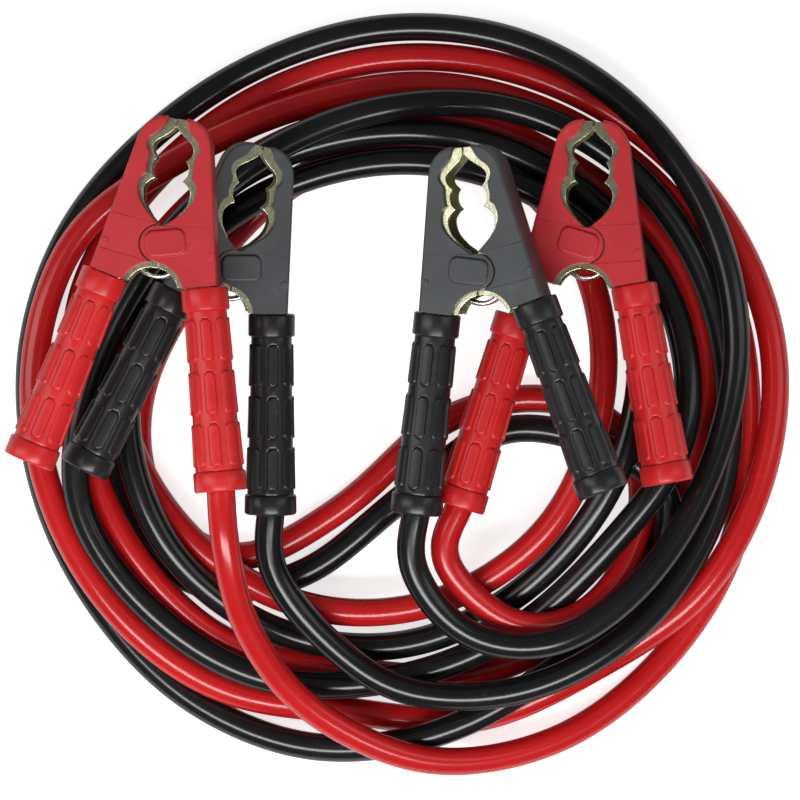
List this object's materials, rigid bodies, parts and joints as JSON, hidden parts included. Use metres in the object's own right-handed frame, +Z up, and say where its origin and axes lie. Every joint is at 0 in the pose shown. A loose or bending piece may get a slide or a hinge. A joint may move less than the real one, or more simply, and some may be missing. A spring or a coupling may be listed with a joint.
{
  "type": "car jumper cable set",
  "caption": "Coiled red and black car jumper cables with sprung battery clamps that have plastic jaw covers and soft handle sleeves.",
  "frame": {"origin": "the middle of the box round the four clamps; the floor is 71.4 mm below it", "axes": "+X to the right across the row of clamps, +Y the way the jaws point, +Z up from the floor"},
  "size_m": [0.3877, 0.3813, 0.1065],
  "materials": {
    "red_cover": "moulded plastic, satin",
    "black_cover": "moulded plastic, satin, dark grey",
    "red_sleeve": "soft plastic, satin",
    "black_sleeve": "soft plastic, satin",
    "red_cable": "smooth cable insulation",
    "black_cable": "smooth cable insulation",
    "zinc_steel": "yellow passivated zinc plating",
    "spring_steel": "bright wire"
  },
  "bodies": {
    "leads_and_cable_side_arms": {"red_clamp_1_cable_jaw": "zinc_steel", "red_clamp_1_cable_jaw_cover": "red_cover", "red_clamp_1_cable_sleeve": "red_sleeve", "red_clamp_1_rivet": "zinc_steel", "red_clamp_1_spring": "spring_steel", "black_clamp_1_cable_jaw": "zinc_steel", "black_clamp_1_cable_jaw_cover": "black_cover", "black_clamp_1_cable_sleeve": "black_sleeve", "black_clamp_1_rivet": "zinc_steel", "black_clamp_1_spring": "spring_steel", "black_clamp_2_cable_jaw": "zinc_steel", "black_clamp_2_cable_jaw_cover": "black_cover", "black_clamp_2_cable_sleeve": "black_sleeve", "black_clamp_2_rivet": "zinc_steel", "black_clamp_2_spring": "spring_steel", "red_clamp_2_cable_jaw": "zinc_steel", "red_clamp_2_cable_jaw_cover": "red_cover", "red_clamp_2_cable_sleeve": "red_sleeve", "red_clamp_2_rivet": "zinc_steel", "red_clamp_2_spring": "spring_steel", "red_cable": "red_cable", "black_cable": "black_cable"},
    "red_clamp_1_free_arm": {"red_clamp_1_free_jaw": "zinc_steel", "red_clamp_1_free_jaw_cover": "red_cover", "red_clamp_1_free_sleeve": "red_sleeve"},
    "black_clamp_1_free_arm": {"black_clamp_1_free_jaw": "zinc_steel", "black_clamp_1_free_jaw_cover": "black_cover", "black_clamp_1_free_sleeve": "black_sleeve"},
    "black_clamp_2_free_arm": {"black_clamp_2_free_jaw": "zinc_steel", "black_clamp_2_free_jaw_cover": "black_cover", "black_clamp_2_free_sleeve": "black_sleeve"},
    "red_clamp_2_free_arm": {"red_clamp_2_free_jaw": "zinc_steel", "red_clamp_2_free_jaw_cover": "red_cover", "red_clamp_2_free_sleeve": "red_sleeve"}
  },
  "joints": [
    {"name": "red_clamp_1_jaw_opening", "type": "hinge", "parent": "leads_and_cable_side_arms", "child": "red_clamp_1_free_arm", "pos_m": [-0.0924, 0.03525, 0.0195], "axis": [-0.0519, 0.009, 0.9986], "range_deg": [0, 22], "stiffness_Nm_per_rad": 1.5, "springref_deg": -57.3},
    {"name": "black_clamp_1_jaw_opening", "type": "hinge", "parent": "leads_and_cable_side_arms", "child": "black_clamp_1_free_arm", "pos_m": [-0.0585, 0.0251, -0.0114], "axis": [0.1081, -0.0684, 0.9918], "range_deg": [0, 22], "stiffness_Nm_per_rad": 1.5, "springref_deg": -57.3},
    {"name": "black_clamp_2_jaw_opening", "type": "hinge", "parent": "leads_and_cable_side_arms", "child": "black_clamp_2_free_arm", "pos_m": [0.06375, 0.0225, 0.00505], "axis": [0.255, 0.0464, -0.9658], "range_deg": [0, 22], "stiffness_Nm_per_rad": 1.5, "springref_deg": -57.3},
    {"name": "red_clamp_2_jaw_opening", "type": "hinge", "parent": "leads_and_cable_side_arms", "child": "red_clamp_2_free_arm", "pos_m": [0.1163, 0.03555, -0.0185], "axis": [0.1034, -0.0229, -0.9944], "range_deg": [0, 22], "stiffness_Nm_per_rad": 1.5, "springref_deg": -57.3}
  ]
}
